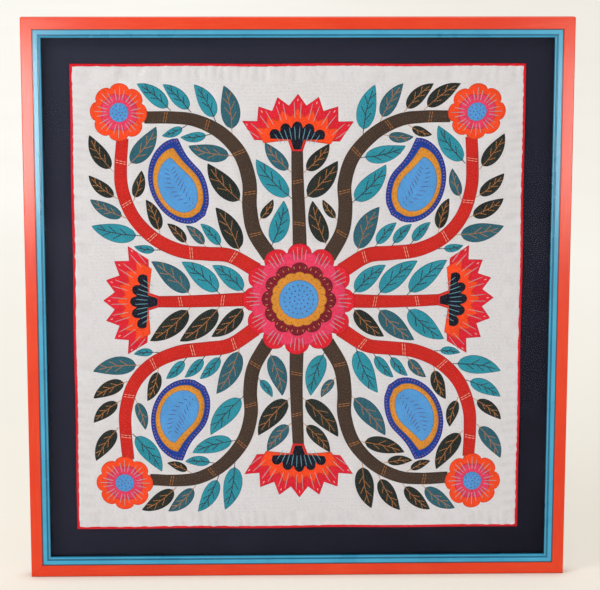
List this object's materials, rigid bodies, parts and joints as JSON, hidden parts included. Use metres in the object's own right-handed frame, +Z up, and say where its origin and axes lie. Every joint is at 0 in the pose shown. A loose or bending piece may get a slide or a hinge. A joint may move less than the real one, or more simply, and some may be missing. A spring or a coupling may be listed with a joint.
{
  "type": "framed applique panel, an applique textile in its wooden frame",
  "caption": "Square-ish quilted applique textile on a dark cloth-covered board, behind a thin pane, in a red wooden frame with a narrow turquoise slip.",
  "frame": {"origin": "centre of the flat back, where it meets the wall", "axes": "+Z up, +X to the right as seen from the front, the front faces -Y and the wall is on the +Y side"},
  "size_m": [1, 0.028, 1.0436],
  "materials": {
    "rail_lacquer": "orange-red satin lacquer on wood, faint lengthwise grain",
    "slip_lacquer": "turquoise satin lacquer on wood",
    "board_cloth": "dark navy plain-weave cotton stretched over a board",
    "ground_cotton": "off-white cotton, thinly padded and quilted",
    "binding_cotton": "crimson cotton binding",
    "red_cotton": "brick-red cotton with hand stitches",
    "brown_cotton": "dark brown cotton with hand stitches",
    "crimson_cotton": "crimson cotton with hand stitches",
    "orange_cotton": "orange and pink cotton with hand stitches",
    "royal_cotton": "royal blue cotton with hand stitches",
    "sky_cotton": "sky blue cotton with hand stitches",
    "navy_cotton": "navy-black cotton with hand stitches",
    "maroon_cotton": "maroon cotton with hand stitches",
    "mustard_cotton": "mustard cotton with hand stitches",
    "clear_pane": "thin clear picture glazing"
  },
  "bodies": {
    "root": {"outer_rail_bottom": "rail_lacquer", "slip_rail_bottom": "slip_lacquer", "binding_bottom": "binding_cotton", "outer_rail_left": "rail_lacquer", "slip_rail_left": "slip_lacquer", "binding_left": "binding_cotton", "outer_rail_top": "rail_lacquer", "slip_rail_top": "slip_lacquer", "binding_top": "binding_cotton", "outer_rail_right": "rail_lacquer", "slip_rail_right": "slip_lacquer", "binding_right": "binding_cotton", "mount_board": "board_cloth", "glazing_pane": "clear_pane", "quilted_ground": "ground_cotton", "red_stem_ne": "red_cotton", "brown_stem_ne": "brown_cotton", "paisley_ne": "royal_cotton", "paisley_heart_ne": "sky_cotton", "rosette_petals_ne": "orange_cotton", "rosette_eye_ne": "sky_cotton", "red_stem_nw": "red_cotton", "brown_stem_nw": "brown_cotton", "paisley_nw": "royal_cotton", "paisley_heart_nw": "sky_cotton", "rosette_petals_nw": "orange_cotton", "rosette_eye_nw": "sky_cotton", "red_stem_se": "red_cotton", "brown_stem_se": "brown_cotton", "paisley_se": "royal_cotton", "paisley_heart_se": "sky_cotton", "rosette_petals_se": "orange_cotton", "rosette_eye_se": "sky_cotton", "red_stem_sw": "red_cotton", "brown_stem_sw": "brown_cotton", "paisley_sw": "royal_cotton", "paisley_heart_sw": "sky_cotton", "rosette_petals_sw": "orange_cotton", "rosette_eye_sw": "sky_cotton", "upright_stem_n": "brown_cotton", "upright_stem_s": "brown_cotton", "level_stem_e": "red_cotton", "level_stem_w": "red_cotton", "carnation_fan_n": "crimson_cotton", "carnation_cup_n": "navy_cotton", "carnation_fan_s": "crimson_cotton", "carnation_cup_s": "navy_cotton", "carnation_fan_e": "crimson_cotton", "carnation_cup_e": "navy_cotton", "carnation_fan_w": "crimson_cotton", "carnation_cup_w": "navy_cotton", "rose_petals": "crimson_cotton", "rose_ring": "maroon_cotton", "rose_collar": "mustard_cotton", "rose_eye": "sky_cotton"}
  },
  "joints": []
}
